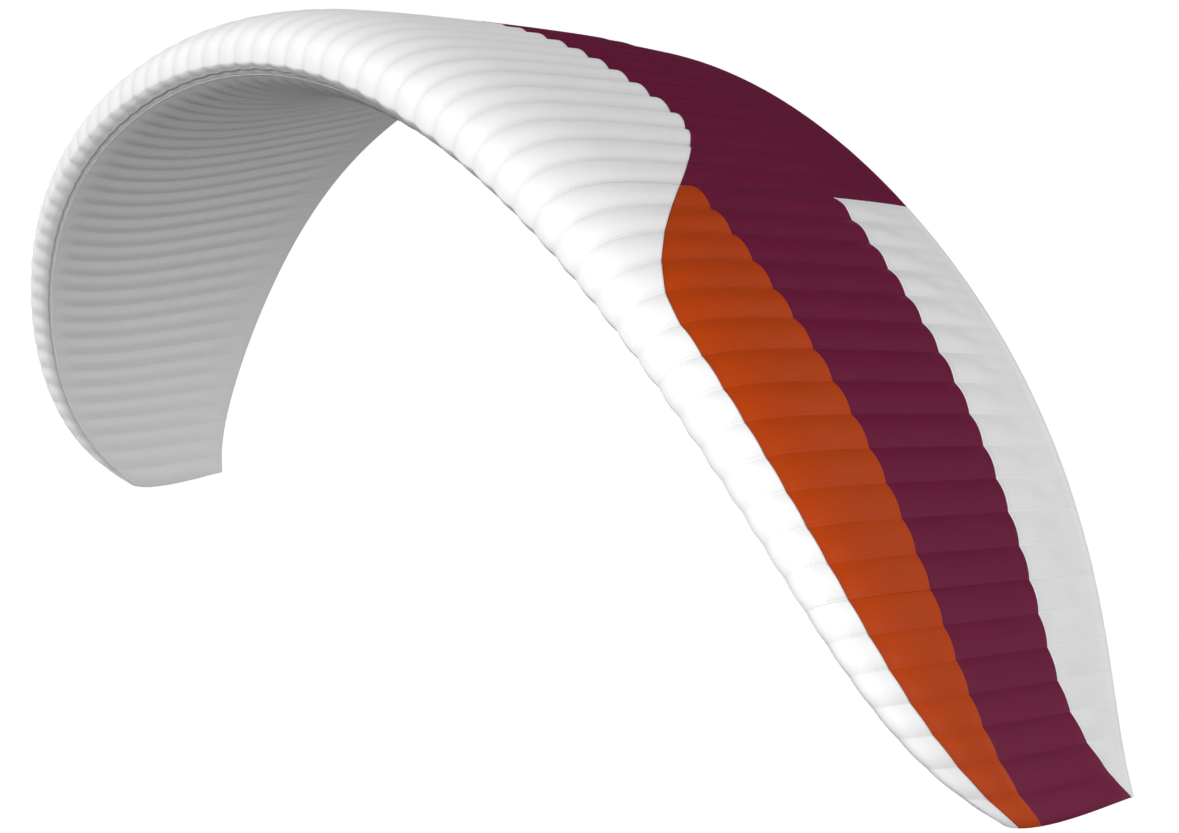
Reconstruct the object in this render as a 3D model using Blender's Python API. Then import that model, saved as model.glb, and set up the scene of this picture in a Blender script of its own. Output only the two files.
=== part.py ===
"""Ram-air paraglider wing, as it stands in the air above its pilot.

Every object is one run of cloth panels: a few neighbouring cells, cut from one colour
and sewn side by side.  The wing flies towards -Y, its span lies along X and +Z is up.
The origin is the middle of the underside, where the middle lines pull.  Metres.
"""

import bpy
import numpy as np

# Cells and cloth.  Each sail lies a flat layer off its rib's own line, which is just
# more than its thickness, so that the two sails stay apart at the trailing edge.
CELLS = 69
MIDDLE = CELLS / 2
CLOTH = 0.002
SEAM_GAP = 0.0004
FLAT_LAYER = 0.00224

# The left half of the wing, from its middle out to the tip.  Each row is a rib:
# cells from the middle, x and z of its quarter-chord point, y of its leading edge,
# its chord, and its roll and twist in degrees.
STATIONS = (
    # cells    x       z     lead_y  chord   roll  twist
    (0.0, 0.000, 0.000, 0.000, 1.958, 0.0, 0.0),
    (4.0, 0.973, -0.051, -0.005, 1.946, 7.6, 0.1),
    (8.0, 1.910, -0.201, -0.015, 1.913, 15.3, 0.3),
    (12.0, 2.778, -0.438, -0.020, 1.862, 23.7, 0.6),
    (16.0, 3.552, -0.753, -0.007, 1.792, 33.2, 0.9),
    (20.0, 4.209, -1.136, 0.039, 1.691, 44.1, 1.2),
    (24.0, 4.732, -1.577, 0.129, 1.535, 56.3, 1.4),
    (27.0, 5.030, -1.931, 0.233, 1.371, 65.9, 1.5),
    (30.0, 5.248, -2.292, 0.388, 1.153, 75.5, 1.6),
    (32.0, 5.352, -2.532, 0.548, 0.960, 81.7, 1.65),
    (33.5, 5.410, -2.710, 0.725, 0.775, 86.4, 1.7),
    (34.5, 5.440, -2.828, 0.884, 0.623, 89.5, 1.7),
)

# Section of a rib for a chord of 1: the weights that pull its upper and lower line
# away from the chord, from the nose back.  The section thins out over the last cells.
UPPER_FULLNESS = (0.547, 0.243, 0.272, 0.197, 0.254)
LOWER_FULLNESS = (0.132, 0.248, 0.163, 0.144, 0.195)
TIP_THINNING = 8
# The nose stands above the chord, full over the top and flat underneath; both die out
# backward, the faster the higher the power.  The flat layers part round its fold.
NOSE_RISE = 0.0251
UPPER_LIP, LOWER_LIP = 0.050, -0.095
NOSE_POWER = 32
NOSE_FOLD = 0.1
# Place on the chord about which a rib is twisted.
TWIST_CENTRE = 0.25
# The tip's edge bows outwards, over the last cells: its reach, its depth as a share of the
# tip's chord and the power with which it closes in towards the rear.
TIP_BOW_CELLS = 3.0
TIP_BOW = 0.22
TIP_BOW_REAR = 1.2

# Air pressure puffs each cell out between its two ribs: height of the crest as a share of
# the cell's width, above and below, the one changing to the other under the nose; less of
# it round the nose, none at the trailing edge, nor along the tight front edge of the
# lower sail.
PUFF_ABOVE, PUFF_BELOW = 0.11, 0.06
NOSE_PUFF = 0.20
PUFF_REACH_ABOVE, PUFF_REACH_BELOW = 0.45, 0.28
REAR_PUFF_FALL = 14
PUFF_CHANGE = 0.3
TIGHT_EDGE_REACH = 0.06

# Where the panels meet, as shares of the chord on the upper side.
WHITE_EDGE_MIDDLE, WHITE_EDGE_OUTER = 0.560, 0.084
WHITE_EDGE_SWEEP = (10.5, 19.5)
ORANGE_EDGE = 0.390
TIP_ZONE = (22.0, 34.5)
WHITE_EDGE_TIP, ORANGE_EDGE_TIP = 0.124, 0.290
# The rear band widens forward on its way out, and is swept back to the corner at the tip.
REAR_EDGE, REAR_EDGE_DRIFT, REAR_ZONE = 0.786, -0.066, (14.5, 34.5)
REAR_EDGE_SWEEP, REAR_SWEEP_ZONE = 0.263, (28.5, 34.5)
# The inlet band under the nose: share of the chord on the lower side at its edges, in the
# middle and at the tip, and the powers of the way out with which they move back.
INLET_FRONT_MIDDLE, INLET_FRONT_TIP, INLET_FRONT_POWER = 0.0125, 0.0720, 1.07
INLET_REAR_MIDDLE, INLET_REAR_TIP, INLET_REAR_POWER = 0.0274, 0.0851, 1.31

# Ribs where the runs of panels end.  Colour changes only outside the fourth cut.
CUTS = (0, 7, 14, 20, 27, 32, 37, 42, 49, 55, 62, 69)
COLOURED_RUNS = 3

# The lines' middle pull on the underside, share of the chord.
PULL_POINT = 0.30

# Rows of cloth from edge to edge in each kind of panel.
NOSE_ROWS_MIDDLE, NOSE_ROWS_OUTER = 5, 3
ORANGE_ROWS, WINE_ROWS, REAR_ROWS, INLET_ROWS, LOWER_ROWS = 2, 2, 1, 1, 4

# Step in rib number, or around a rib, over which slopes and widths are measured.
SMALL_STEP = 0.002


def spline(knots, values, at):
    """Natural cubic through the knots, read at the places in at."""
    steps = np.diff(knots)
    slopes = np.diff(values) / steps
    count = len(knots)
    matrix = np.eye(count)
    right = np.zeros(count)
    for k in range(1, count - 1):
        matrix[k, k - 1 : k + 2] = steps[k - 1], 2 * (steps[k - 1] + steps[k]), steps[k]
        right[k] = 6 * (slopes[k] - slopes[k - 1])
    bends = np.linalg.solve(matrix, right)
    k = np.clip(np.searchsorted(knots, at) - 1, 0, count - 2)
    step = steps[k]
    ahead = (at - knots[k]) / step
    behind = 1 - ahead
    curve = (behind**3 - behind) * bends[k] + (ahead**3 - ahead) * bends[k + 1]
    return behind * values[k] + ahead * values[k + 1] + curve * step**2 / 6


def rib_values(cells_out):
    """The columns of STATIONS at signed distances from the middle, + on the left."""
    table = np.array(STATIONS)
    columns = []
    for column in range(1, table.shape[1]):
        mirrored = -1 if column in (1, 5) else 1
        knots = np.concatenate((-table[:0:-1, 0], table[:, 0]))
        values = np.concatenate((mirrored * table[:0:-1, column], table[:, column]))
        columns.append(spline(knots, values, cells_out))
    return columns


def section(around, fullness):
    """Chordwise and upward place on a rib of chord 1.

    around is 0 at the nose and runs to 1 at the trailing edge over the upper side and
    to -1 under the lower side; the share of the chord is its square.
    """
    share = around**2
    back = 1 - share
    basis = (back**4, 4 * share * back**3, 6 * share**2 * back**2, 4 * share**3 * back, share**4)
    nose = back**NOSE_POWER
    upper = sum(w * b for w, b in zip(UPPER_FULLNESS, basis)) + UPPER_LIP * nose
    lower = sum(w * b for w, b in zip(LOWER_FULLNESS, basis)) + LOWER_LIP * nose
    away = around * back * np.where(around > 0, upper, lower)
    return share, fullness * (away + NOSE_RISE * nose)


def under_nose(rib, middle, tip, power):
    """Place around the rib of a seam that moves back from the middle to the tips."""
    out = np.abs(MIDDLE - rib) / MIDDLE
    return -np.sqrt(middle + (tip - middle) * out**power)


def inlet_front(rib):
    return under_nose(rib, INLET_FRONT_MIDDLE, INLET_FRONT_TIP, INLET_FRONT_POWER)


def inlet_rear(rib):
    return under_nose(rib, INLET_REAR_MIDDLE, INLET_REAR_TIP, INLET_REAR_POWER)


def puff(rib, around):
    """How far the cloth stands out from the line between its cell's two ribs."""
    x_left, z_left = rib_values(MIDDLE - rib + 0.5)[:2]
    x_right, z_right = rib_values(MIDDLE - rib - 0.5)[:2]
    cell_width = np.hypot(x_left - x_right, z_left - z_right)
    reach = np.where(around > 0, PUFF_REACH_ABOVE, PUFF_REACH_BELOW)
    rise = np.clip(np.abs(around) / reach, 0, 1)
    along = (NOSE_PUFF + (1 - NOSE_PUFF) * rise) * (1 - np.abs(around) ** REAR_PUFF_FALL)
    from_edge = (around - inlet_rear(rib)) / TIGHT_EDGE_REACH
    slack = 1 - np.exp(-(from_edge**2))
    crest = PUFF_BELOW + (PUFF_ABOVE - PUFF_BELOW) * np.clip(around / PUFF_CHANGE + 1, 0, 1)
    return crest * cell_width * along * slack * np.sin(np.pi * (rib % 1))


def cloth_point(rib, around, depth=0.0):
    """Points of the sail: rib number from the left tip, place around the rib, depth inwards."""
    rib, around = np.broadcast_arrays(np.asarray(rib, float), np.asarray(around, float))
    cells_out = MIDDLE - rib
    x, z, lead_y, chord, roll, twist = rib_values(cells_out)
    fullness = np.sqrt(np.clip(1 - np.abs(cells_out / MIDDLE) ** TIP_THINNING, 0, 1))

    def in_rib(place):
        share, height = section(place, fullness)
        fold = FLAT_LAYER * np.clip(place / NOSE_FOLD, -1, 1)
        return share * chord, height * chord + fold

    along, up = in_rib(around)
    along_next, up_next = in_rib(np.minimum(around + SMALL_STEP, 1.0))
    along_last, up_last = in_rib(np.maximum(around - SMALL_STEP, -1.0))
    run, rise = along_next - along_last, up_next - up_last
    length = np.hypot(run, rise)
    inwards = depth - puff(rib, around)
    along = along + inwards * rise / length
    up = up - inwards * run / length

    turn = np.radians(twist)
    from_centre = along - TWIST_CENTRE * chord
    y = lead_y + TWIST_CENTRE * chord + from_centre * np.cos(turn) + up * np.sin(turn)
    lift = up * np.cos(turn) - from_centre * np.sin(turn)
    lean = np.radians(roll)
    near_tip = np.clip((np.abs(cells_out) - MIDDLE) / TIP_BOW_CELLS + 1, 0, 1)
    bow = TIP_BOW * near_tip**2 * chord * np.abs(around) * (1 - around**2) ** TIP_BOW_REAR
    x_next, z_next = rib_values(cells_out + SMALL_STEP)[:2]
    bow = bow * np.sign(cells_out) / np.hypot(x_next - x, z_next - z)
    x_bowed = x + bow * (x_next - x) + lift * np.sin(lean)
    z_bowed = z + bow * (z_next - z) + lift * np.cos(lean)
    return np.stack((x_bowed, y, z_bowed), axis=-1)


def way_out(rib, start, end):
    """0 up to one distance from the middle and 1 from another on, in cells."""
    return np.clip((np.abs(MIDDLE - rib) - start) / (end - start), 0, 1)


def tip_share(rib):
    return way_out(rib, *TIP_ZONE) ** 2


def white_edge(rib):
    t = way_out(rib, *WHITE_EDGE_SWEEP)
    swept = t * t * (3 - 2 * t)
    share = WHITE_EDGE_MIDDLE + (WHITE_EDGE_OUTER - WHITE_EDGE_MIDDLE) * swept
    return np.sqrt(share + (WHITE_EDGE_TIP - WHITE_EDGE_OUTER) * tip_share(rib))


def orange_edge(rib):
    return np.sqrt(ORANGE_EDGE + (ORANGE_EDGE_TIP - ORANGE_EDGE) * tip_share(rib))


def rear_edge(rib):
    drift = REAR_EDGE_DRIFT * way_out(rib, *REAR_ZONE)
    return np.sqrt(REAR_EDGE + drift + REAR_EDGE_SWEEP * way_out(rib, *REAR_SWEEP_ZONE) ** 3)


def trailing_edge(rib):
    return np.ones_like(rib)


def lower_trailing_edge(rib):
    return -np.ones_like(rib)


def cloth_material(name, colour, roughness):
    material = bpy.data.materials.new(name)
    material.use_nodes = True
    shader = material.node_tree.nodes["Principled BSDF"]
    shader.inputs["Base Color"].default_value = (*colour, 1)
    shader.inputs["Roughness"].default_value = roughness
    shader.inputs["Metallic"].default_value = 0.0
    return material


def distance(rib, around, next_rib, next_around):
    apart = cloth_point(next_rib, next_around) - cloth_point(rib, around)
    return np.linalg.norm(apart, axis=-1)


def panel_run(name, first_rib, last_rib, front, rear, divisions, material):
    """One sheet of cloth between two ribs and two edges, with half a seam gap all round.

    Its rows are the ribs and the crests between them.
    """
    ribs = np.linspace(first_rib, last_rib, 2 * (last_rib - first_rib) + 1)[:, None]
    spread = np.linspace(0, 1, divisions + 1)[None, :]
    around = front(ribs) * (1 - spread) + rear(ribs) * spread

    # Half a seam gap, along the span at the end ribs and around the rib at the edges.
    ends, middle = ribs[[0, -1]], around[[0, -1], divisions // 2][:, None]
    inward = np.array([[SMALL_STEP], [-SMALL_STEP]])
    ribs[[0, -1]] += inward * SEAM_GAP / 2 / distance(ends, middle, ends + inward, middle)
    backward = np.sign(around[0, -1] - around[0, 0])
    for edge, step in ((0, backward * SMALL_STEP), (-1, -backward * SMALL_STEP)):
        place = around[:, edge]
        stretch = distance(ribs[:, 0], place, ribs[:, 0], place + step)
        around[:, edge] = place + step * SEAM_GAP / 2 / stretch

    outside = cloth_point(ribs, around)
    inside = cloth_point(ribs, around, CLOTH)
    rows, columns = around.shape
    count = rows * columns
    corners = [tuple(point) for point in (outside - PULL).reshape(-1, 3)]
    corners += [tuple(point) for point in (inside - PULL).reshape(-1, 3)]

    # Both sides of the cloth fold along the same diagonals, mirrored about the middle.
    faces = []
    for row in range(rows - 1):
        left_half = ribs[row, 0] < MIDDLE - SMALL_STEP
        for column in range(columns - 1):
            a = row * columns + column
            b, c, d = a + columns, a + columns + 1, a + 1
            halves = ((a, b, c), (a, c, d)) if left_half else ((a, b, d), (b, c, d))
            for half in halves:
                faces.append(half)
                faces.append(tuple(count + corner for corner in reversed(half)))
    border = [row * columns for row in range(rows)]
    border += [(rows - 1) * columns + column for column in range(1, columns)]
    border += [row * columns + columns - 1 for row in range(rows - 2, -1, -1)]
    border += list(range(columns - 2, 0, -1))
    for here, there in zip(border, border[1:] + border[:1]):
        faces.append((there, here, count + here, count + there))
    if backward > 0:
        faces = [tuple(reversed(face)) for face in faces]

    mesh = bpy.data.meshes.new(name)
    mesh.from_pydata(corners, [], faces)
    mesh.validate()
    mesh.materials.append(material)
    panel = bpy.data.objects.new(name, mesh)
    bpy.context.scene.collection.objects.link(panel)


for old in list(bpy.data.objects):
    bpy.data.objects.remove(old)

# The origin: the underside between the two middle ribs, at the lines' middle pull.
middle_ribs = np.array([MIDDLE - 0.5, MIDDLE + 0.5])
PULL = cloth_point(middle_ribs, -np.sqrt(PULL_POINT)).mean(axis=0)

white = cloth_material("white_cloth", (0.86, 0.86, 0.86), 0.5)
wine = cloth_material("wine_cloth", (0.15, 0.014, 0.047), 0.45)
orange = cloth_material("orange_cloth", (0.52, 0.058, 0.006), 0.45)
inlet = cloth_material("inlet_cloth", (0.80, 0.80, 0.80), 0.6)
lower = cloth_material("lower_cloth", (0.80, 0.80, 0.80), 0.5)

runs = list(zip(CUTS[:-1], CUTS[1:]))
for number, (first, last) in enumerate(runs, start=1):
    outer = number <= COLOURED_RUNS or number > len(runs) - COLOURED_RUNS
    label = f"{number:02d}"
    nose_rows = NOSE_ROWS_OUTER if outer else NOSE_ROWS_MIDDLE
    panel_run(f"nose_panel_{label}", first, last, inlet_front, white_edge, nose_rows, white)
    if outer:
        panel_run(f"orange_panel_{label}", first, last, white_edge, orange_edge, ORANGE_ROWS, orange)
        panel_run(f"wine_panel_{label}", first, last, orange_edge, rear_edge, WINE_ROWS, wine)
        panel_run(f"rear_panel_{label}", first, last, rear_edge, trailing_edge, REAR_ROWS, white)
    else:
        panel_run(f"wine_panel_{label}", first, last, white_edge, trailing_edge, WINE_ROWS, wine)
    panel_run(f"inlet_band_{label}", first, last, inlet_front, inlet_rear, INLET_ROWS, inlet)
    panel_run(f"lower_panel_{label}", first, last, inlet_rear, lower_trailing_edge, LOWER_ROWS, lower)
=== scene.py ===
import math

import bpy
import numpy as np
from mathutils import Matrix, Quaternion, Vector


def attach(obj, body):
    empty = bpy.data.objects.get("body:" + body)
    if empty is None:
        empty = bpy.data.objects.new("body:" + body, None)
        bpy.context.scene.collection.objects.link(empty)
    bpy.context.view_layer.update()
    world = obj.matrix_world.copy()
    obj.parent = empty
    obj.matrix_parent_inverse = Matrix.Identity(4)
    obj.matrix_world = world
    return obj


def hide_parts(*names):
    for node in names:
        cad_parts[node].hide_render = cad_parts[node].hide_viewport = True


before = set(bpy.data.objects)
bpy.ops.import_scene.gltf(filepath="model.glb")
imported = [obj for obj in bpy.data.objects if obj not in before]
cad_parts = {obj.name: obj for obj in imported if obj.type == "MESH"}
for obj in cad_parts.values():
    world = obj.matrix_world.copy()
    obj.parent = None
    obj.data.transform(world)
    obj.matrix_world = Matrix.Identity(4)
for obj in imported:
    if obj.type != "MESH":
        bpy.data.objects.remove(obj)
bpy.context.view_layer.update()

# ----------------------------------------------------------------------------------------
# Camera, floor and light: a long lens off the wing's left side, a little ahead of it and
# above it; a plain pale floor as far below as the pilot's feet would be; three wide soft
# lights, from ahead and above, from the left and from behind. A glow in the air on the
# left shows only as a sheen on the coated cloth.
CAMERA_PLACE = Vector((17.839, -6.963, 0.972))
CAMERA_AIM = Vector((0.533, 0.869, -1.681))
CAMERA_ROLL = math.radians(-2.963)
LENS_MM = 115.7
SENSOR_MM = 36.0
VIEW_DEPTH = 2000.0

camera_data = bpy.data.cameras.new("camera")
camera_data.lens = LENS_MM
camera_data.sensor_width = SENSOR_MM
camera_data.clip_end = VIEW_DEPTH
camera = bpy.data.objects.new("camera", camera_data)
bpy.context.scene.collection.objects.link(camera)
camera.location = CAMERA_PLACE
look = (CAMERA_AIM - CAMERA_PLACE).to_track_quat("-Z", "Y")
camera.rotation_mode = "QUATERNION"
camera.rotation_quaternion = look @ Quaternion((0, 0, 1), CAMERA_ROLL)
bpy.context.scene.camera = camera
bpy.context.scene.view_settings.view_transform = "Standard"

# The floor looks pale, but throws little light back up at the wing.
FLOOR_HEIGHT = -9.0
FLOOR_REACH = 900.0
FLOOR_PALE = (0.93, 0.93, 0.93, 1)
FLOOR_BOUNCE = (0.045, 0.045, 0.045, 1)
FLOOR_GLOW = 0.30
FLOOR_ROUGHNESS = 0.9


def connect(tree, value, socket):
    """Feed a socket with another node's socket or a number."""
    if isinstance(value, bpy.types.NodeSocket):
        tree.links.new(value, socket)
    else:
        socket.default_value = value


def calculate(tree, operation, *values):
    """A Math node whose inputs are numbers or other nodes' sockets."""
    node = tree.nodes.new("ShaderNodeMath")
    node.operation = operation
    for socket, value in zip(node.inputs, values):
        connect(tree, value, socket)
    return node.outputs["Value"]


floor_mesh = bpy.data.meshes.new("floor")
corners = [(-1, -1), (1, -1), (1, 1), (-1, 1)]
floor_corners = [(x * FLOOR_REACH, y * FLOOR_REACH, FLOOR_HEIGHT) for x, y in corners]
floor_mesh.from_pydata(floor_corners, [], [(0, 1, 2, 3)])
floor = bpy.data.objects.new("floor", floor_mesh)
bpy.context.scene.collection.objects.link(floor)
floor.visible_shadow = False
floor.visible_glossy = False

floor_paint = bpy.data.materials.new("floor_paint")
floor_paint.use_nodes = True
tree = floor_paint.node_tree
paint = tree.nodes["Principled BSDF"]
paint.inputs["Roughness"].default_value = FLOOR_ROUGHNESS
paint.inputs["Specular IOR Level"].default_value = 0.0
ray = tree.nodes.new("ShaderNodeLightPath")
shade = tree.nodes.new("ShaderNodeMix")
shade.data_type = "RGBA"
shade.inputs["A"].default_value = FLOOR_BOUNCE
shade.inputs["B"].default_value = FLOOR_PALE
glow = calculate(tree, "MULTIPLY", ray.outputs["Is Camera Ray"], FLOOR_GLOW)
tree.links.new(ray.outputs["Is Camera Ray"], shade.inputs["Factor"])
tree.links.new(shade.outputs["Result"], paint.inputs["Base Color"])
tree.links.new(glow, paint.inputs["Emission Strength"])
floor_mesh.materials.append(floor_paint)

# Where each light comes from, its strength and how wide it is.
KEY_FROM, KEY_STRENGTH, KEY_SOFTNESS = Vector((0.07, -0.84, 0.54)), 3.52, math.radians(35)
SIDE_FROM, SIDE_STRENGTH, SIDE_SOFTNESS = Vector((0.95, -0.12, -0.27)), 1.95, math.radians(30)
BACK_FROM, BACK_STRENGTH, BACK_SOFTNESS = Vector((0.0, 0.98, 0.15)), 2.3, math.radians(70)


def soft_light(name, source, strength, softness):
    data = bpy.data.lights.new(name, "SUN")
    data.energy = strength
    data.angle = softness
    light = bpy.data.objects.new(name, data)
    bpy.context.scene.collection.objects.link(light)
    light.rotation_mode = "QUATERNION"
    light.rotation_quaternion = source.to_track_quat("Z", "Y")
    return light


soft_light("key_light", KEY_FROM, KEY_STRENGTH, KEY_SOFTNESS)
side_light = soft_light("side_light", SIDE_FROM, SIDE_STRENGTH, SIDE_SOFTNESS)
side_light.visible_glossy = False
back_light = soft_light("back_light", BACK_FROM, BACK_STRENGTH, BACK_SOFTNESS)
back_light.visible_glossy = False

# The air lights the wing faintly, changing over at the horizon, and looks nearly white.
# The sheen's glow falls off around the side that it comes from.
AIR_BELOW, AIR_ABOVE, AIR_SEEN = 0.025, 0.015, 0.95
HORIZON_BLEND = 0.1
SHEEN_FROM, SHEEN_GLOW, SHEEN_FALL = Vector((0.944, -0.234, -0.233)), 2.5, 4.5
world = bpy.data.worlds.new("air")
bpy.context.scene.world = world
world.use_nodes = True
tree = world.node_tree
nodes, links = tree.nodes, tree.links
air = nodes["Background"]
facing = nodes.new("ShaderNodeTexCoord")
height = nodes.new("ShaderNodeSeparateXYZ")
lift = nodes.new("ShaderNodeMapRange")
lift.inputs["From Min"].default_value = -HORIZON_BLEND
lift.inputs["From Max"].default_value = HORIZON_BLEND
lift.inputs["To Min"].default_value = AIR_BELOW
lift.inputs["To Max"].default_value = AIR_ABOVE
seen = nodes.new("ShaderNodeLightPath")
backdrop = nodes.new("ShaderNodeMix")
backdrop.data_type = "FLOAT"
backdrop.inputs["B"].default_value = AIR_SEEN
links.new(facing.outputs["Generated"], height.inputs["Vector"])
links.new(height.outputs["Z"], lift.inputs["Value"])
links.new(seen.outputs["Is Camera Ray"], backdrop.inputs["Factor"])
links.new(lift.outputs["Result"], backdrop.inputs["A"])

towards = nodes.new("ShaderNodeVectorMath")
towards.operation = "DOT_PRODUCT"
towards.inputs[1].default_value = SHEEN_FROM
links.new(facing.outputs["Generated"], towards.inputs[0])
away = calculate(tree, "SUBTRACT", towards.outputs["Value"], 1.0)
fall = calculate(tree, "EXPONENT", calculate(tree, "MULTIPLY", away, SHEEN_FALL))
glossy = calculate(tree, "MULTIPLY", seen.outputs["Is Glossy Ray"], SHEEN_GLOW)
sheen = calculate(tree, "MULTIPLY", fall, glossy)
links.new(calculate(tree, "ADD", backdrop.outputs["Result"], sheen), air.inputs["Color"])

# ----------------------------------------------------------------------------------------
# Ribs and sail shape. Seventy cloth ribs stand inside the wing, numbered from its left
# tip; the two sails are sewn to them and puff out between them. Each row of the table is
# a station of the left half, so many cells from the middle: its nose's place, its chord
# in metres, and its lean and twist in degrees.
CELLS = 69
MIDDLE = CELLS / 2
STATIONS = (
    # cells    x       z      nose_y  chord  lean  twist
    (0.0, 0.000, 0.000, 0.000, 1.958, 0.0, 0.0),
    (4.0, 0.973, -0.051, -0.005, 1.946, 7.6, 0.1),
    (8.0, 1.910, -0.201, -0.015, 1.913, 15.3, 0.3),
    (12.0, 2.778, -0.438, -0.020, 1.862, 23.7, 0.6),
    (16.0, 3.552, -0.753, -0.007, 1.792, 33.2, 0.9),
    (20.0, 4.209, -1.136, 0.039, 1.691, 44.1, 1.2),
    (24.0, 4.732, -1.577, 0.129, 1.535, 56.3, 1.4),
    (27.0, 5.030, -1.931, 0.233, 1.371, 65.9, 1.5),
    (30.0, 5.248, -2.292, 0.388, 1.153, 75.5, 1.6),
    (32.0, 5.352, -2.532, 0.548, 0.960, 81.7, 1.65),
    (33.5, 5.410, -2.710, 0.725, 0.775, 86.4, 1.7),
    (34.5, 5.440, -2.828, 0.884, 0.623, 89.5, 1.7),
)
# Columns that change sign on the right half: x and lean.
SIDEWAYS_COLUMNS = (1, 5)
# Thickness of a sheet of cloth. Each sail keeps the layer's distance from the chord, from
# the fold at the nose on, so that both fit where a rib runs out flat.
CLOTH = 0.0015
FLAT_LAYER = 0.00224
NOSE_FOLD = 0.1
# Weights that shape the upper and lower line of a rib, from the nose back. The rise lifts
# the nose above the chord, and the lips make it full over the top and flat underneath;
# all three die out a little way back. The ribs thin out only close to the tips.
UPPER_FULLNESS = (0.547, 0.243, 0.272, 0.197, 0.254)
LOWER_FULLNESS = (0.132, 0.248, 0.163, 0.144, 0.195)
NOSE_RISE = 0.0251
UPPER_LIP, LOWER_LIP = 0.050, -0.095
NOSE_POWER = 32
TIP_THINNING = 8
# A rib twists about this share of its chord, and the lines pull at the other.
TWIST_CENTRE = 0.25
PULL_POINT = 0.30
# The tip's edge bows outwards, over the last cells.
TIP_BOW_CELLS = 3.0
TIP_BOW = 0.22
TIP_BOW_REAR = 1.2
# Height of a cell's crest as a share of its width: less round the nose, and none at the
# rear nor at the tight seam where the lower sail starts.
PUFF_ABOVE, PUFF_BELOW = 0.11, 0.06
NOSE_PUFF = 0.20
PUFF_REACH_ABOVE, PUFF_REACH_BELOW = 0.45, 0.28
REAR_PUFF_FALL = 14
PUFF_CHANGE = 0.3
TIGHT_SEAM_BEHIND, TIGHT_SEAM_AHEAD = 0.10, 0.08
# The seams lie in rounded valleys over the rear and underneath, and in sharp ones over
# the front. Short ribs halve each cell near the trailing edge.
ROUND_SEAM_START, ROUND_SEAM_FULL = 0.72, 0.90
ROUND_SEAM_BELOW, ROUND_SEAM_REACH = 0.85, 0.10
SHORT_RIB_START, SHORT_RIB_FULL = 0.84, 0.92
SHORT_RIB_PUFF = 0.32
# The hem of the upper sail sags a little between the ribs.
HEM_SAG = 0.0018
# Edges of the inlet band under the nose: share of the chord in the middle of the wing and
# at its tips, and the power of the way out with which they move back.
INLET_FRONT = (0.0125, 0.0720, 1.07)
INLET_REAR = (0.0274, 0.0851, 1.31)
# Step over which a direction along the cloth is taken.
SMALL_STEP = 0.002


def spline(knots, values, at):
    """A natural cubic spline through the values at the knots."""
    steps = np.diff(knots)
    slopes = np.diff(values) / steps
    count = len(knots)
    matrix = np.eye(count)
    right = np.zeros(count)
    for k in range(1, count - 1):
        matrix[k, k - 1 : k + 2] = steps[k - 1], 2 * (steps[k - 1] + steps[k]), steps[k]
        right[k] = 6 * (slopes[k] - slopes[k - 1])
    bends = np.linalg.solve(matrix, right)
    k = np.clip(np.searchsorted(knots, at) - 1, 0, count - 2)
    step = steps[k]
    ahead = (at - knots[k]) / step
    behind = 1 - ahead
    curve = (behind**3 - behind) * bends[k] + (ahead**3 - ahead) * bends[k + 1]
    return behind * values[k] + ahead * values[k + 1] + curve * step**2 / 6


def rib_values(cells_out):
    """The station table's columns after the first, so many cells left of the middle."""
    table = np.array(STATIONS)
    columns = []
    for column in range(1, table.shape[1]):
        mirrored = -1 if column in SIDEWAYS_COLUMNS else 1
        knots = np.concatenate((-table[:0:-1, 0], table[:, 0]))
        values = np.concatenate((mirrored * table[:0:-1, column], table[:, column]))
        columns.append(spline(knots, values, cells_out))
    return columns


def smooth(start, end, at):
    """0 before the start, 1 after the end and a soft change between them."""
    t = np.clip((at - start) / (end - start), 0, 1)
    return t * t * (3 - 2 * t)


def section(around, fullness):
    """Chord share and height, as a share of the chord, of a place around a rib.

    around is 0 at the nose, 1 at the trailing edge over the top and -1 underneath.
    """
    share = around**2
    back = 1 - share
    basis = (back**4, 4 * share * back**3, 6 * share**2 * back**2, 4 * share**3 * back, share**4)
    nose = back**NOSE_POWER
    upper = sum(w * b for w, b in zip(UPPER_FULLNESS, basis)) + UPPER_LIP * nose
    lower = sum(w * b for w, b in zip(LOWER_FULLNESS, basis)) + LOWER_LIP * nose
    away = around * back * np.where(around > 0, upper, lower)
    return share, fullness * (away + NOSE_RISE * nose)


def cell_width(rib):
    """Width along the arch of the cell that has this rib number in its middle."""
    x_left, z_left = rib_values(MIDDLE - rib + 0.5)[:2]
    x_right, z_right = rib_values(MIDDLE - rib - 0.5)[:2]
    return np.hypot(x_left - x_right, z_left - z_right)


def under_nose(rib, middle, tip, power):
    """Place around the rib of an edge of the inlet band."""
    out = np.abs(MIDDLE - rib) / MIDDLE
    return -np.sqrt(middle + (tip - middle) * out**power)


def inlet_front(rib):
    between = rib % 1
    sag = HEM_SAG * 4 * between * (1 - between)
    return -np.sqrt(under_nose(rib, *INLET_FRONT) ** 2 + sag)


def inlet_rear(rib):
    return under_nose(rib, *INLET_REAR)


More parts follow.
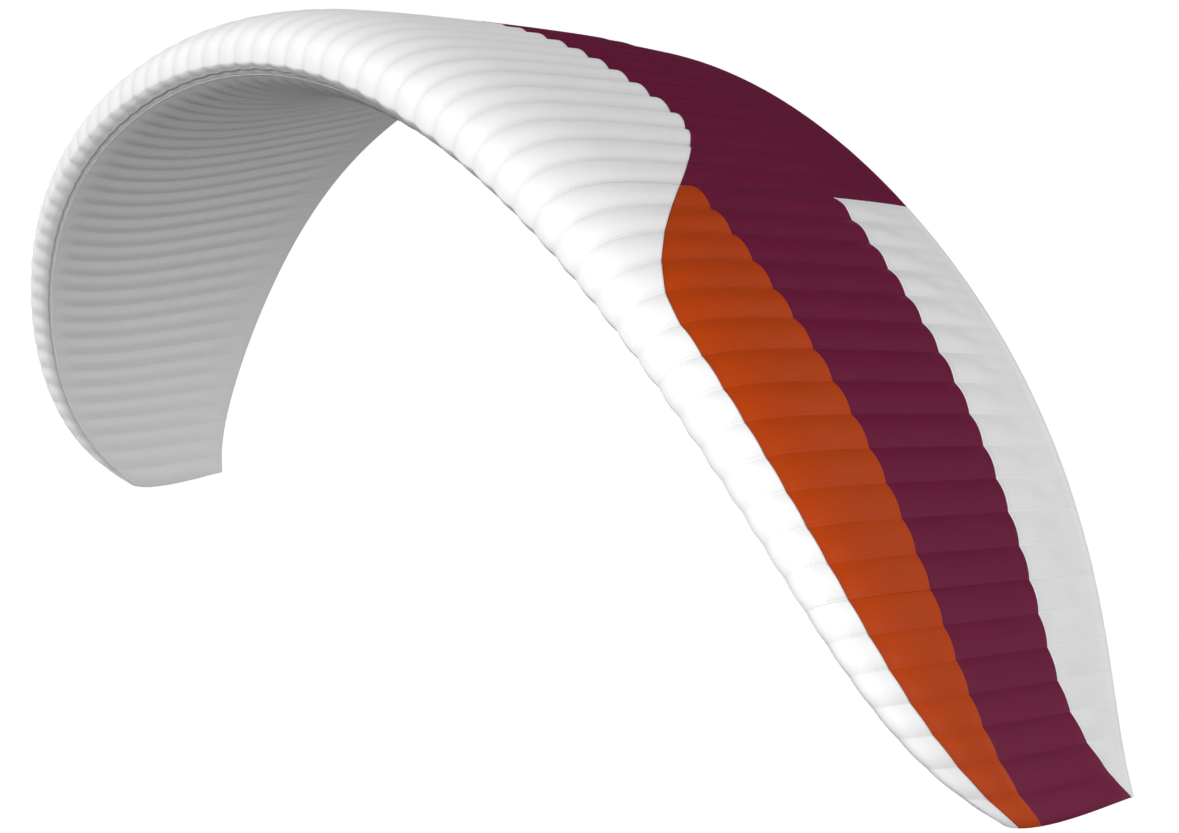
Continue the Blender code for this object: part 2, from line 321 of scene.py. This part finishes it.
def puff(rib, around):
    """How far the cloth stands out between two ribs."""
    between = rib % 1
    round_seam = smooth(ROUND_SEAM_START, ROUND_SEAM_FULL, around**2)
    underneath = ROUND_SEAM_BELOW * np.clip(-around / ROUND_SEAM_REACH, 0, 1)
    round_seam = np.maximum(round_seam, underneath)
    sharp = 4 * between * (1 - between)
    rounded = np.sin(np.pi * between) ** 2
    whole = sharp * (1 - round_seam) + rounded * round_seam
    halves = np.sin(2 * np.pi * between) ** 2 * SHORT_RIB_PUFF
    split = smooth(SHORT_RIB_START, SHORT_RIB_FULL, around**2)
    reach = np.where(around > 0, PUFF_REACH_ABOVE, PUFF_REACH_BELOW)
    rise = np.clip(np.abs(around) / reach, 0, 1)
    along = (NOSE_PUFF + (1 - NOSE_PUFF) * rise) * (1 - np.abs(around) ** REAR_PUFF_FALL)
    from_seam = around - inlet_rear(rib)
    tight_reach = np.where(from_seam > 0, TIGHT_SEAM_AHEAD, TIGHT_SEAM_BEHIND)
    slack = 1 - np.exp(-((from_seam / tight_reach) ** 2))
    crest = PUFF_BELOW + (PUFF_ABOVE - PUFF_BELOW) * np.clip(around / PUFF_CHANGE + 1, 0, 1)
    return crest * cell_width(rib) * along * slack * (whole * (1 - split) + halves * split)


def cloth_point(rib, around, proud=0.0):
    """Points of the sail: rib number, place around the rib, height outside the cloth's face."""
    rib, around, proud = np.broadcast_arrays(
        np.asarray(rib, float), np.asarray(around, float), np.asarray(proud, float)
    )
    cells_out = MIDDLE - rib
    x, z, nose_y, chord, lean, twist = rib_values(cells_out)
    fullness = np.sqrt(np.clip(1 - np.abs(cells_out / MIDDLE) ** TIP_THINNING, 0, 1))

    def in_rib(place):
        share, height = section(place, fullness)
        fold = FLAT_LAYER * np.clip(place / NOSE_FOLD, -1, 1)
        return share * chord, height * chord + fold

    along, up = in_rib(around)
    along_next, up_next = in_rib(np.minimum(around + SMALL_STEP, 1.0))
    along_last, up_last = in_rib(np.maximum(around - SMALL_STEP, -1.0))
    run, rise = along_next - along_last, up_next - up_last
    length = np.hypot(run, rise)
    outwards = proud + puff(rib, around)
    along = along - outwards * rise / length
    up = up + outwards * run / length

    turn, lean = np.radians(twist), np.radians(lean)
    from_centre = along - TWIST_CENTRE * chord
    y = nose_y + TWIST_CENTRE * chord + from_centre * np.cos(turn) + up * np.sin(turn)
    lift = up * np.cos(turn) - from_centre * np.sin(turn)
    near_tip = np.clip((np.abs(cells_out) - MIDDLE) / TIP_BOW_CELLS + 1, 0, 1)
    bow = TIP_BOW * near_tip**2 * chord * np.abs(around) * (1 - around**2) ** TIP_BOW_REAR
    x_next, z_next = rib_values(cells_out + SMALL_STEP)[:2]
    bow = bow * np.sign(cells_out) / np.hypot(x_next - x, z_next - z)
    x_bowed = x + bow * (x_next - x) + lift * np.sin(lean)
    z_bowed = z + bow * (z_next - z) + lift * np.cos(lean)
    return np.stack((x_bowed, y, z_bowed), axis=-1)


# The origin: under the middle of the wing, where its middle lines pull.
middle_ribs = np.array([MIDDLE - 0.5, MIDDLE + 0.5])
PULL = cloth_point(middle_ribs, -np.sqrt(PULL_POINT)).mean(axis=0)

# ----------------------------------------------------------------------------------------
# White nose of the upper sail: coated ripstop cloth, cut cell by cell, sewn to the ribs
# and wrapped round the nose to the seam under it. It runs back to the wine cloth in the
# middle of the wing and to the orange band on the outer wing. Neighbouring cells are
# joined into runs, and the three runs at each end carry the outer wing's colours.
CUTS = (0, 7, 14, 20, 27, 32, 37, 42, 49, 55, 62, 69)
COLOURED_RUNS = 3
RUNS = [(f"{number:02d}", run) for number, run in enumerate(zip(CUTS[:-1], CUTS[1:]), start=1)]
OUTER_RUNS = RUNS[:COLOURED_RUNS] + RUNS[-COLOURED_RUNS:]
# Chord share of the white's rear edge in the middle, on the outer wing and at the tips, and
# the cells from the middle between which it moves.
WHITE_EDGE_MIDDLE, WHITE_EDGE_OUTER, WHITE_EDGE_TIP = 0.560, 0.084, 0.124
WHITE_EDGE_SWEEP = (10.5, 19.5)
TIP_ZONE = (22.0, 34.5)
# Columns of points in a cell, spacing of the rows and steps in which a panel is measured.
CELL_COLUMNS = 12
ROW_SPACING = 0.028
LENGTH_STEPS = 40


def way_out(rib, start, end):
    """0 up to the start, in cells from the middle, and 1 from the end on."""
    return np.clip((np.abs(MIDDLE - rib) - start) / (end - start), 0, 1)


def tip_share(rib):
    return way_out(rib, *TIP_ZONE) ** 2


def white_edge(rib):
    start, end = WHITE_EDGE_SWEEP
    swept = smooth(start, end, np.abs(MIDDLE - rib))
    share = WHITE_EDGE_MIDDLE + (WHITE_EDGE_OUTER - WHITE_EDGE_MIDDLE) * swept
    return np.sqrt(share + (WHITE_EDGE_TIP - WHITE_EDGE_OUTER) * tip_share(rib))


# A hem: distances from a panel's edge with the height of the cloth there, in metres. Where
# a panel runs out in a point, a hem takes at most this share of the width that is left.
SEWN_EDGE = ((0.0, 0.0), (0.002, 0.0008), (0.009, 0.0008), (0.012, 0.0))
LAPPED_EDGE = ((0.0, 0.0), (0.004, 0.0))
NOSE_HEM = ((0.0, -0.001), (0.002, 0.002), (0.008, 0.002), (0.014, 0.0))
HEM_ROOM = 0.4


def panel_grid(run, front, rear, front_hem, rear_hem):
    """Rib numbers, places round the ribs and heights of the points of a run of panels."""
    first_rib, last_rib = run
    wave = 0.5 - 0.5 * np.cos(np.pi * np.arange(CELL_COLUMNS) / CELL_COLUMNS)
    ribs = (np.arange(first_rib, last_rib)[:, None] + wave).ravel()
    ribs = np.append(ribs, last_rib)[:, None]
    front_place, rear_place = front(ribs), rear(ribs)
    backward = np.sign(rear_place[0, 0] - front_place[0, 0])

    def stretch(place, step):
        apart = cloth_point(ribs, place + step) - cloth_point(ribs, place)
        return np.linalg.norm(apart, axis=-1) / SMALL_STEP

    step = backward * SMALL_STEP
    from_front = np.array([distance for distance, _ in front_hem])
    from_rear = np.array([distance for distance, _ in rear_hem])[::-1]
    here = np.linalg.norm(cloth_point(ribs, rear_place) - cloth_point(ribs, front_place), axis=-1)
    room = np.minimum(1, HEM_ROOM * here / max(from_front[-1], from_rear[0]))
    at_front = front_place + backward * from_front * room / stretch(front_place, step)
    at_rear = rear_place - backward * from_rear * room / stretch(rear_place, -step)

    middle_rib = np.array((first_rib + last_rib) // 2)
    spread = np.linspace(0, 1, LENGTH_STEPS)
    line = front(middle_rib) * (1 - spread) + rear(middle_rib) * spread
    depth = np.linalg.norm(np.diff(cloth_point(middle_rib, line), axis=0), axis=-1).sum()
    rows = max(2, round(depth / ROW_SPACING))
    share = np.linspace(0, 1, rows + 1)[1:-1]
    between = at_front[:, -1:] * (1 - share) + at_rear[:, :1] * share
    around = np.concatenate((at_front, between, at_rear), axis=1)
    proud = np.concatenate((
        [height for _, height in front_hem],
        np.zeros(rows - 1),
        [height for _, height in rear_hem][::-1],
    ))[None, :]
    return ribs, around, proud


def sheet_faces(count_across, count_along, runs_back):
    """Faces of the outside, the inside and the rim between them."""
    count = count_across * count_along
    index = np.arange(count).reshape(count_across, count_along)
    faces = np.stack((index[:-1, :-1], index[1:, :-1], index[1:, 1:], index[:-1, 1:]), axis=-1)
    faces = faces.reshape(-1, 4)
    border = np.concatenate((index[:-1, 0], index[-1, :-1], index[:0:-1, -1], index[0, :0:-1]))
    beyond = np.roll(border, -1)
    rim = np.stack((beyond, border, border + count, beyond + count), axis=-1)
    faces = np.concatenate((faces, faces[:, ::-1] + count, rim))
    return faces[:, ::-1] if runs_back else faces


def map_panel(mesh, faces, run, ribs, down):
    """Three maps, in metres.

    The place in the panel, across towards the wing's middle and down from its front edge;
    the distances from its two edges; and the cell's number with the distance from a rib.
    """
    flat = faces % down.size
    left = (down[:, -1:] - down).ravel()
    rib_corner = np.broadcast_to(ribs, down.shape).ravel()[flat]
    cell = np.clip(np.floor(rib_corner.mean(axis=1, keepdims=True)), run[0], run[1] - 1)
    width = cell_width(cell + 0.5)
    across = (rib_corner - cell - 0.5) * width
    inwards = np.where(cell + 0.5 > MIDDLE, -1, 1)
    maps = {
        "cloth": (across * inwards, down.ravel()[flat]),
        "edges": (down.ravel()[flat], left[flat]),
        "seams": (np.broadcast_to(cell, across.shape), width / 2 - np.abs(across)),
    }
    for map_name, (u, v) in maps.items():
        layer = mesh.uv_layers.new(name=map_name)
        layer.data.foreach_set("uv", np.stack((u, v), axis=-1).astype(np.float32).ravel())


def sew_panel(kind, label, run, front, rear, front_hem, rear_hem, material):
    """One run of cloth panels between two ribs and two edges, as a closed thin sheet."""
    ribs, around, proud = panel_grid(run, front, rear, front_hem, rear_hem)
    outside = cloth_point(ribs, around, proud) - PULL
    inside = cloth_point(ribs, around, proud - CLOTH) - PULL
    faces = sheet_faces(*around.shape, around[0, -1] > around[0, 0])
    corners = np.concatenate((outside.reshape(-1, 3), inside.reshape(-1, 3)))

    name = f"{kind}_cloth_{label}"
    mesh = bpy.data.meshes.new(name)
    mesh.from_pydata(corners.tolist(), [], faces.tolist())
    mesh.polygons.foreach_set("use_smooth", np.ones(len(faces), bool))
    mesh.materials.append(material)
    steps = np.linalg.norm(np.diff(outside, axis=1), axis=-1)
    down = np.concatenate((np.zeros((len(ribs), 1)), np.cumsum(steps, axis=1)), axis=1)
    map_panel(mesh, faces, run, ribs, down)

    panel = bpy.data.objects.new(name, mesh)
    bpy.context.scene.collection.objects.link(panel)
    node = f"inlet_band_{label}" if kind == "inlet" else f"{kind}_panel_{label}"
    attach(panel, "root")
    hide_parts(node)


def new_group(name, numbers, output):
    """A shader node group with one output and float inputs of these names and values."""
    group = bpy.data.node_groups.new(name, "ShaderNodeTree")
    for label, value in numbers.items():
        socket = group.interface.new_socket(label, in_out="INPUT", socket_type="NodeSocketFloat")
        socket.default_value = value
    group.interface.new_socket(output, in_out="OUTPUT", socket_type="NodeSocketFloat")
    return group, group.nodes.new("NodeGroupInput"), group.nodes.new("NodeGroupOutput")


def near(tree, distance, reach):
    """1 at a line, falling to 0 at the reach from it."""
    far = calculate(tree, "MINIMUM", calculate(tree, "DIVIDE", distance, reach), 1.0)
    return calculate(tree, "SUBTRACT", 1.0, far)


def cloud_texture(tree, scale, detail, *place):
    """Noise over a place given by up to three sockets."""
    point = tree.nodes.new("ShaderNodeCombineXYZ")
    for socket, value in zip(point.inputs, place):
        connect(tree, value, socket)
    cloud = tree.nodes.new("ShaderNodeTexNoise")
    cloud.inputs["Scale"].default_value = scale
    cloud.inputs["Detail"].default_value = detail
    tree.links.new(point.outputs["Vector"], cloud.inputs["Vector"])
    return cloud.outputs["Fac"]


# Scale and detail of each noise. Gathers run across the cloth and pull lines along it; a
# smaller stretch makes them longer. The rows of patches slip from one cell to the next.
CLOUD_NOISE = 6.0, 3.0
GATHER_NOISE, GATHER_STRETCH = (30.0, 2.0), 0.15
PULL_NOISE, PULL_STRETCH = (34.0, 2.0), 0.06
PATCH_SLIP = 0.4


def ripstop_group():
    """Thicker threads that cross the cloth in a square grid."""
    group, given, result = new_group("ripstop", {
        "Across": 0.0, "Along": 0.0, "Square": 0.005, "Thread": 0.0007,
    }, "Threads")
    half = calculate(group, "MULTIPLY", given.outputs["Square"], 0.5)
    lines = []
    for way in ("Across", "Along"):
        away = calculate(group, "PINGPONG", given.outputs[way], half)
        lines.append(near(group, away, given.outputs["Thread"]))
    group.links.new(calculate(group, "MAXIMUM", *lines), result.inputs["Threads"])
    return group


def stitch_group():
    """A row of stitches at a set distance from a seam."""
    group, given, result = new_group("stitches", {
        "Distance": 0.0, "Along": 0.0, "Offset": 0.006,
        "Stitch": 0.004, "Pitch": 0.006, "Thread": 0.0012,
    }, "Stitches")
    off = calculate(group, "SUBTRACT", given.outputs["Distance"], given.outputs["Offset"])
    away = calculate(group, "ABSOLUTE", off)
    row = calculate(group, "LESS_THAN", away, given.outputs["Thread"])
    turn = calculate(group, "FLOORED_MODULO", given.outputs["Along"], given.outputs["Pitch"])
    dash = calculate(group, "LESS_THAN", turn, given.outputs["Stitch"])
    group.links.new(calculate(group, "MULTIPLY", row, dash), result.inputs["Stitches"])
    return group


def tone_group():
    """Patches with cloth behind them, a little paler or darker, and faint cloudy marks."""
    group, given, result = new_group("panel_tone", {
        "Cell": 0.0, "Across": 0.0, "Along": 0.0, "Patch": 0.16,
        "Patch Change": 0.02, "Cloud Change": 0.02,
    }, "Tone")
    side = calculate(group, "GREATER_THAN", given.outputs["Across"], 0.0)
    slip = calculate(group, "MULTIPLY", calculate(group, "SINE", given.outputs["Cell"]), PATCH_SLIP)
    row = calculate(group, "DIVIDE", given.outputs["Along"], given.outputs["Patch"])
    row = calculate(group, "FLOOR", calculate(group, "ADD", row, slip))
    place = group.nodes.new("ShaderNodeCombineXYZ")
    for socket, value in zip(place.inputs, (given.outputs["Cell"], side, row)):
        connect(group, value, socket)
    luck = group.nodes.new("ShaderNodeTexWhiteNoise")
    luck.noise_dimensions = "3D"
    group.links.new(place.outputs["Vector"], luck.inputs["Vector"])
    centred = calculate(group, "SUBTRACT", luck.outputs["Value"], 0.5)
    panel = calculate(group, "MULTIPLY", centred, given.outputs["Patch Change"])
    cloud = cloud_texture(
        group, *CLOUD_NOISE, given.outputs["Across"], given.outputs["Along"], given.outputs["Cell"]
    )
    drift = calculate(group, "SUBTRACT", cloud, 0.5)
    drift = calculate(group, "MULTIPLY", drift, given.outputs["Cloud Change"])
    tone = calculate(group, "ADD", 1.0, calculate(group, "ADD", panel, drift))
    group.links.new(tone, result.inputs["Tone"])
    return group


def gather_group():
    """Small gathers that run across the cloth away from a seam and die out."""
    group, given, result = new_group("gathers", {
        "Distance": 0.0, "Across": 0.0, "Along": 0.0, "Cell": 0.0, "Reach": 0.03,
    }, "Height")
    slow = calculate(group, "MULTIPLY", given.outputs["Across"], GATHER_STRETCH)
    ripple = cloud_texture(
        group, *GATHER_NOISE, slow, given.outputs["Along"], given.outputs["Cell"]
    )
    fall = calculate(group, "DIVIDE", given.outputs["Distance"], given.outputs["Reach"])
    fall = calculate(group, "EXPONENT", calculate(group, "MULTIPLY", fall, -1.0))
    group.links.new(calculate(group, "MULTIPLY", ripple, fall), result.inputs["Height"])
    return group


def streak_group():
    """Long soft pull lines in the tight cloth, lengthwise of the cell."""
    group, given, result = new_group("pull_lines", {
        "Across": 0.0, "Along": 0.0, "Cell": 0.0,
    }, "Height")
    slow = calculate(group, "MULTIPLY", given.outputs["Along"], PULL_STRETCH)
    streak = cloud_texture(
        group, *PULL_NOISE, given.outputs["Across"], slow, given.outputs["Cell"]
    )
    group.links.new(streak, result.inputs["Height"])
    return group


RIPSTOP, STITCHES, PANEL_TONE = ripstop_group(), stitch_group(), tone_group()
GATHERS, PULL_LINES = gather_group(), streak_group()
# Heights in metres; the row of stitches along a rib, by its distance from the seam and its
# stitches' length and pitch; how far the edge's stitches and the thick threads show.
THREAD_RELIEF, STITCH_RELIEF = 0.00005, 0.0002
GATHER_RELIEF, PULL_RELIEF = 0.0006, 0.0006
RIB_ROW, RIB_STITCH, RIB_PITCH = 0.012, 0.012, 0.021
EDGE_STITCH_SHOWS = 0.5
THREAD_DARKER = -0.02
NO_SEAM_SHADE = (0.01, 0.0)


def coated_cloth(
    name, colour, thread_colour, roughness, gloss, change, front_line, rear_line,
    seam_shade=NO_SEAM_SHADE, rib_row_start=0.0,
):
    """Ripstop cloth with a thin smooth coating, stitched along the ribs and its edges.

    Each line is the reach of the tone at an edge or a seam, and how much paler it is there
    than the cloth. change is how far its patches and clouds differ.
    """
    material = bpy.data.materials.new(name)
    material.use_nodes = True
    tree = material.node_tree
    shader = tree.nodes["Principled BSDF"]
    shader.inputs["Roughness"].default_value = roughness
    shader.inputs["Metallic"].default_value = 0.0
    shader.inputs["Specular IOR Level"].default_value = gloss

    def read_map(label):
        source = tree.nodes.new("ShaderNodeUVMap")
        source.uv_map = label
        parts = tree.nodes.new("ShaderNodeSeparateXYZ")
        tree.links.new(source.outputs["UV"], parts.inputs["Vector"])
        return parts.outputs["X"], parts.outputs["Y"]

    def place_group(group, **sockets):
        node = tree.nodes.new("ShaderNodeGroup")
        node.node_tree = group
        for label, value in sockets.items():
            connect(tree, value, node.inputs[label.replace("_", " ")])
        return node.outputs[0]

    across, along = read_map("cloth")
    front, rear = read_map("edges")
    cell, seam = read_map("seams")
    edge = calculate(tree, "MINIMUM", front, rear)
    threads = place_group(RIPSTOP, Across=across, Along=along)
    tone = place_group(
        PANEL_TONE, Cell=cell, Across=across, Along=along,
        Patch_Change=change, Cloud_Change=change,
    )
    rib_row = place_group(
        STITCHES, Distance=seam, Along=along,
        Offset=RIB_ROW, Stitch=RIB_STITCH, Pitch=RIB_PITCH,
    )
    rib_row = calculate(tree, "MULTIPLY", rib_row, calculate(tree, "LESS_THAN", across, 0.0))
    behind = calculate(tree, "GREATER_THAN", front, rib_row_start)
    rib_row = calculate(tree, "MULTIPLY", rib_row, behind)
    edge_row = place_group(STITCHES, Distance=edge, Along=across)
    edge_row = calculate(tree, "MULTIPLY", edge_row, EDGE_STITCH_SHOWS)
    stitches = calculate(tree, "MAXIMUM", rib_row, edge_row)
    gathers = place_group(GATHERS, Distance=seam, Across=across, Along=along, Cell=cell)
    pulls = place_group(PULL_LINES, Across=across, Along=along, Cell=cell)

    shade = calculate(tree, "ADD", tone, calculate(tree, "MULTIPLY", threads, THREAD_DARKER))
    # Tones along the edges and the rib seams. The seam tone is painted shade, and some of the edge
    # lines are painted shade, a painted shadow or a painted highlight.
    for distance, (reach, paler) in ((front, front_line), (rear, rear_line), (seam, seam_shade)):
        fold = calculate(tree, "MULTIPLY", near(tree, distance, reach), paler)
        shade = calculate(tree, "ADD", shade, fold)
    toned = tree.nodes.new("ShaderNodeVectorMath")
    toned.operation = "SCALE"
    toned.inputs[0].default_value = colour
    tree.links.new(shade, toned.inputs["Scale"])
    dressed = tree.nodes.new("ShaderNodeMix")
    dressed.data_type = "RGBA"
    dressed.inputs["B"].default_value = (*thread_colour, 1)
    tree.links.new(stitches, dressed.inputs["Factor"])
    tree.links.new(toned.outputs["Vector"], dressed.inputs["A"])
    tree.links.new(dressed.outputs["Result"], shader.inputs["Base Color"])

    relief = calculate(tree, "MULTIPLY", threads, THREAD_RELIEF)
    for height, amount in ((gathers, GATHER_RELIEF), (pulls, PULL_RELIEF), (stitches, STITCH_RELIEF)):
        relief = calculate(tree, "ADD", relief, calculate(tree, "MULTIPLY", height, amount))
    bump = tree.nodes.new("ShaderNodeBump")
    bump.inputs["Strength"].default_value = 1.0
    bump.inputs["Distance"].default_value = 1.0
    tree.links.new(relief, bump.inputs["Height"])
    tree.links.new(bump.outputs["Normal"], shader.inputs["Normal"])
    return material


NOSE_WHITE, NOSE_THREAD = (0.895, 0.895, 0.895), (0.66, 0.66, 0.66)
# Painted shade on the white nose. The front line darkens the cloth by 39% at the seam under the nose,
# fading out 55 mm from it, for the shade under the nose. The seam line darkens it by 7.5% beside the
# rib seams, for the shade in the creases.
NOSE_FRONT_SHADE, NOSE_REAR_LINE, NOSE_SEAM_SHADE = (0.055, -0.39), (0.010, 0.0), (0.05, -0.075)
NOSE_ROW_START = 0.22
nose_white = coated_cloth(
    "white_cloth", NOSE_WHITE, NOSE_THREAD, roughness=0.5, gloss=0.2, change=0.02,
    front_line=NOSE_FRONT_SHADE, rear_line=NOSE_REAR_LINE, seam_shade=NOSE_SEAM_SHADE,
    rib_row_start=NOSE_ROW_START,
)
for label, run in RUNS:
    sew_panel(
        "nose", label, run, inlet_front, white_edge, NOSE_HEM, LAPPED_EDGE,
        nose_white,
    )

# ----------------------------------------------------------------------------------------
# Orange band of the outer wing, behind the white nose: the same cloth dyed burnt orange.
# Its front and rear edges are folded under and sewn to its neighbours, so that a narrow
# fold stands proud along each.
ORANGE_EDGE, ORANGE_EDGE_TIP = 0.390, 0.290
ORANGE, ORANGE_THREAD = (0.468, 0.0505, 0.0015), (0.34, 0.040, 0.006)
# The rear line is a painted highlight, 30% paler, along the orange's rear fold.
ORANGE_FRONT_LINE, ORANGE_REAR_HIGHLIGHT = (0.008, -0.60), (0.007, 0.30)


def orange_edge(rib):
    return np.sqrt(ORANGE_EDGE + (ORANGE_EDGE_TIP - ORANGE_EDGE) * tip_share(rib))


orange = coated_cloth(
    "orange_cloth", ORANGE, ORANGE_THREAD, roughness=0.42, gloss=0.5, change=0.05,
    front_line=ORANGE_FRONT_LINE, rear_line=ORANGE_REAR_HIGHLIGHT,
)
for label, run in OUTER_RUNS:
    sew_panel(
        "orange", label, run, white_edge, orange_edge, SEWN_EDGE, SEWN_EDGE,
        orange,
    )

# ----------------------------------------------------------------------------------------
# Wine cloth: a band behind the orange on the outer wing, and the whole rear of the upper
# sail in the middle, down to the trailing edge, where it is hemmed.
# Chord share of the band's rear edge, how far it drifts forward on the way out and sweeps
# back at the tip, and the cells from the middle between which it does so.
REAR_EDGE, REAR_EDGE_DRIFT, REAR_ZONE = 0.786, -0.066, (14.5, 34.5)
REAR_EDGE_SWEEP, REAR_SWEEP_ZONE = 0.263, (28.5, 34.5)
WINE, WINE_THREAD = (0.148, 0.0072, 0.0430), (0.10, 0.010, 0.03)
WINE_FRONT_LINE, WINE_REAR_LINE = (0.008, -0.15), (0.008, -0.50)


def rear_edge(rib):
    drift = REAR_EDGE_DRIFT * way_out(rib, *REAR_ZONE)
    return np.sqrt(REAR_EDGE + drift + REAR_EDGE_SWEEP * way_out(rib, *REAR_SWEEP_ZONE) ** 3)


def trailing_edge(rib):
    return np.ones_like(rib, float)


TRAILING_HEM = ((0.0, 0.0), (0.0015, 0.0006), (0.016, 0.0006), (0.018, 0.0))
wine = coated_cloth(
    "wine_cloth", WINE, WINE_THREAD, roughness=0.42, gloss=0.5, change=0.06,
    front_line=WINE_FRONT_LINE, rear_line=WINE_REAR_LINE,
)
for label, run in RUNS:
    if (label, run) in OUTER_RUNS:
        sew_panel(
            "wine", label, run, orange_edge, rear_edge, LAPPED_EDGE, SEWN_EDGE,
            wine,
        )
    else:
        sew_panel(
            "wine", label, run, white_edge, trailing_edge, SEWN_EDGE, TRAILING_HEM,
            wine,
        )

# ----------------------------------------------------------------------------------------
# White rear of the outer wing, from the wine band to the trailing edge, in the same kind
# of cloth as the nose. It runs out in a point at the tip, short ribs halve its cells, and
# its rear edge is hemmed.
REAR_WHITE, REAR_THREAD = (0.86, 0.86, 0.86), (0.74, 0.74, 0.74)
REAR_FRONT_LINE, REAR_HEM_LINE = (0.010, -0.02), (0.018, -0.01)
rear_white = coated_cloth(
    "rear_white_cloth", REAR_WHITE, REAR_THREAD, roughness=0.5, gloss=0.2, change=0.035,
    front_line=REAR_FRONT_LINE, rear_line=REAR_HEM_LINE,
)
for label, run in OUTER_RUNS:
    sew_panel(
        "rear", label, run, rear_edge, trailing_edge, SEWN_EDGE, TRAILING_HEM,
        rear_white,
    )

# ----------------------------------------------------------------------------------------
# Inlet band under the nose: a narrow strip of grey cloth, whose edges are tucked a little
# below the faces of the two sails, so that the hem of the upper sail stands proud of it.
TUCKED_FRONT = ((0.0, -0.0015), (0.003, -0.0015), (0.007, -0.001))
TUCKED_REAR = ((0.0, -0.001), (0.003, -0.001))
BAND_GREY, BAND_THREAD = (0.80, 0.80, 0.80), (0.50, 0.50, 0.50)
# The front line is a painted shadow, 30% darker, standing for the shadow that the upper sail's hem
# casts over the band.
BAND_FRONT_SHADOW, BAND_REAR_LINE = (0.006, -0.30), (0.006, -0.08)
band_grey = coated_cloth(
    "inlet_cloth", BAND_GREY, BAND_THREAD, roughness=0.6, gloss=0.1, change=0.03,
    front_line=BAND_FRONT_SHADOW, rear_line=BAND_REAR_LINE,
)
for label, run in RUNS:
    sew_panel(
        "inlet", label, run, inlet_front, inlet_rear, TUCKED_FRONT, TUCKED_REAR,
        band_grey,
    )

# ----------------------------------------------------------------------------------------
# Lower sail: pale grey cloth from the inlet band to the trailing edge, with a thin cord
# sewn into the hem at its front edge.
CORDED_HEM = ((0.0, -0.001), (0.002, 0.0), (0.004, 0.0008), (0.007, 0.0008), (0.011, 0.0))
LOWER_GREY, LOWER_THREAD = (0.70, 0.70, 0.70), (0.55, 0.55, 0.55)
# The front line is a painted highlight, 7% paler, where the corded hem catches the light.
LOWER_FRONT_HIGHLIGHT, LOWER_REAR_LINE = (0.010, 0.07), (0.020, -0.04)


def lower_trailing_edge(rib):
    return -np.ones_like(rib, float)


lower_grey = coated_cloth(
    "lower_cloth", LOWER_GREY, LOWER_THREAD, roughness=0.5, gloss=0.1, change=0.015,
    front_line=LOWER_FRONT_HIGHLIGHT, rear_line=LOWER_REAR_LINE,
)
for label, run in RUNS:
    sew_panel(
        "lower", label, run, inlet_rear, lower_trailing_edge, CORDED_HEM, TRAILING_HEM,
        lower_grey,
    )
